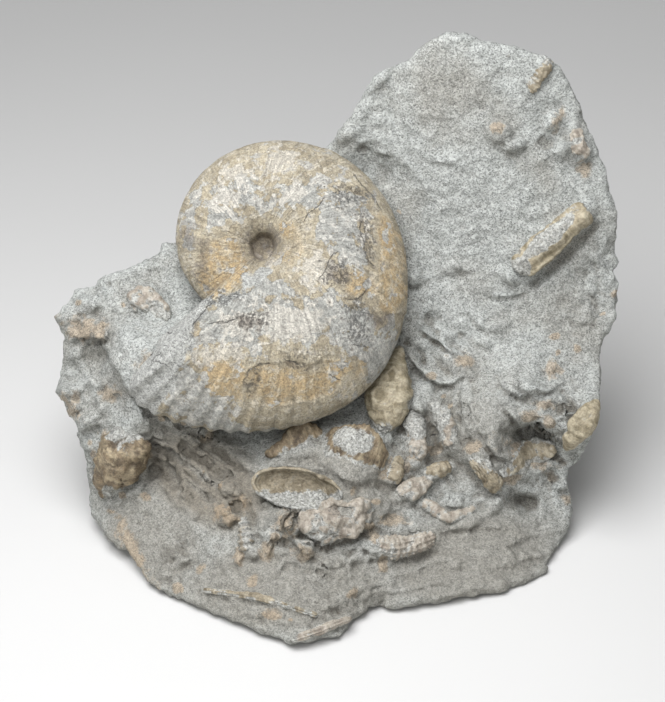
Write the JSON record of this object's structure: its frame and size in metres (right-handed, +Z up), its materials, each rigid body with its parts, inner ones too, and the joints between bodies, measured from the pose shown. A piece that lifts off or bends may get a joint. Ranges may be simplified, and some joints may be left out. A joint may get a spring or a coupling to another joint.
{
  "type": "ammonite fossil in matrix",
  "caption": "Coiled ammonite fossil standing proud of a rough block of grey sandy limestone with smaller shells around it, on a flat base.",
  "frame": {"origin": "centre of the flat base that the block stands on", "axes": "+Z up out of the base, -Y towards the viewer of the ammonite's face, +X to that viewer's right"},
  "size_m": [0.1941, 0.1476, 0.1602],
  "materials": {
    "grey_sandy_limestone": "rough sandy broken stone",
    "tan_calcite_shell": "flaked calcite shell, dull sheen",
    "brown_fossil_shell": "smooth brown fossil shell, slight sheen"
  },
  "bodies": {
    "root": {"matrix": "grey_sandy_limestone", "ammonite": "tan_calcite_shell", "open_valve": "brown_fossil_shell", "tube_shell": "brown_fossil_shell", "oval_shell": "brown_fossil_shell", "bored_nodule": "brown_fossil_shell", "round_clam": "brown_fossil_shell", "shell_wedge": "brown_fossil_shell", "left_clam": "brown_fossil_shell", "whelk": "brown_fossil_shell", "ribbed_shell": "brown_fossil_shell", "long_spine": "brown_fossil_shell", "lower_spine": "brown_fossil_shell", "finger_right": "brown_fossil_shell", "finger_left": "brown_fossil_shell", "short_stub": "brown_fossil_shell", "mottled_stub": "brown_fossil_shell", "cream_pebble": "brown_fossil_shell", "fibrous_fossil": "brown_fossil_shell", "flat_shell": "brown_fossil_shell", "bent_tube": "brown_fossil_shell", "top_rod": "brown_fossil_shell", "side_knob": "brown_fossil_shell", "turret_shell": "brown_fossil_shell", "pitted_shell": "brown_fossil_shell"}
  },
  "joints": []
}
